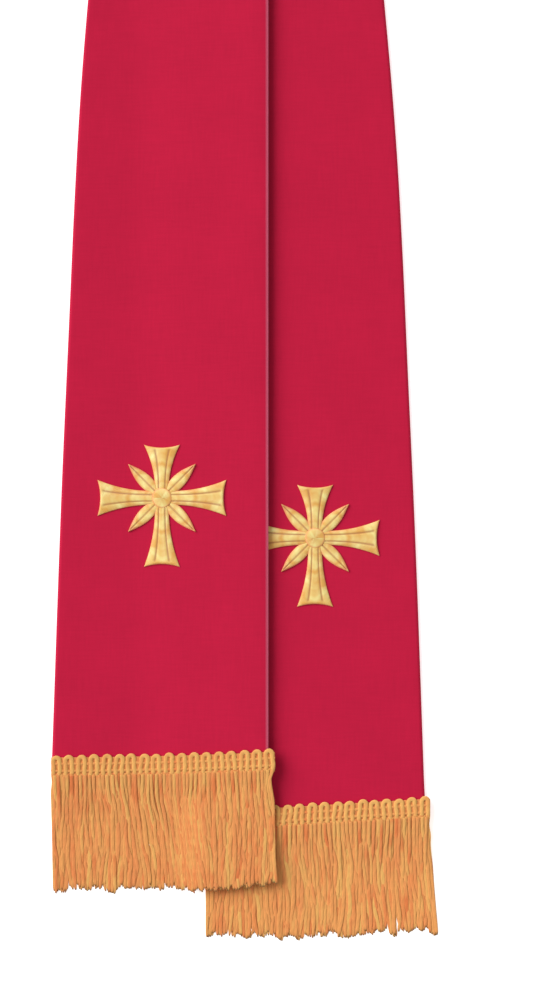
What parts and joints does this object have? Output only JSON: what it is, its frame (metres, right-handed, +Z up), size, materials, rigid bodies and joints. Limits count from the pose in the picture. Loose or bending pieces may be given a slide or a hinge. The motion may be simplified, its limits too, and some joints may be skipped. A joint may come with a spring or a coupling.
{
  "type": "clerical stole",
  "caption": "Long tapered cloth vestment laid flat, its halves side by side, with fringed ends and an embroidered cross above each hem.",
  "frame": {"origin": "on the surface it lies on, under the middle of the whole stole's box", "axes": "+Y along the stole from its fringes to its neck, +Z up out of the cloth's face, +X to the right seen from above"},
  "size_m": [0.2196, 1.319, 0.009],
  "materials": {
    "red_cloth": "matt woven polyester with a fine even weave",
    "gold_fringe": "soft twisted rayon yarn with a low sheen",
    "gold_thread": "satin stitch in glossy rayon thread"
  },
  "bodies": {
    "root": {"left_half": "red_cloth", "right_half": "red_cloth", "left_fringe": "gold_fringe", "right_fringe": "gold_fringe", "left_emblem": "gold_thread", "right_emblem": "gold_thread"}
  },
  "joints": []
}
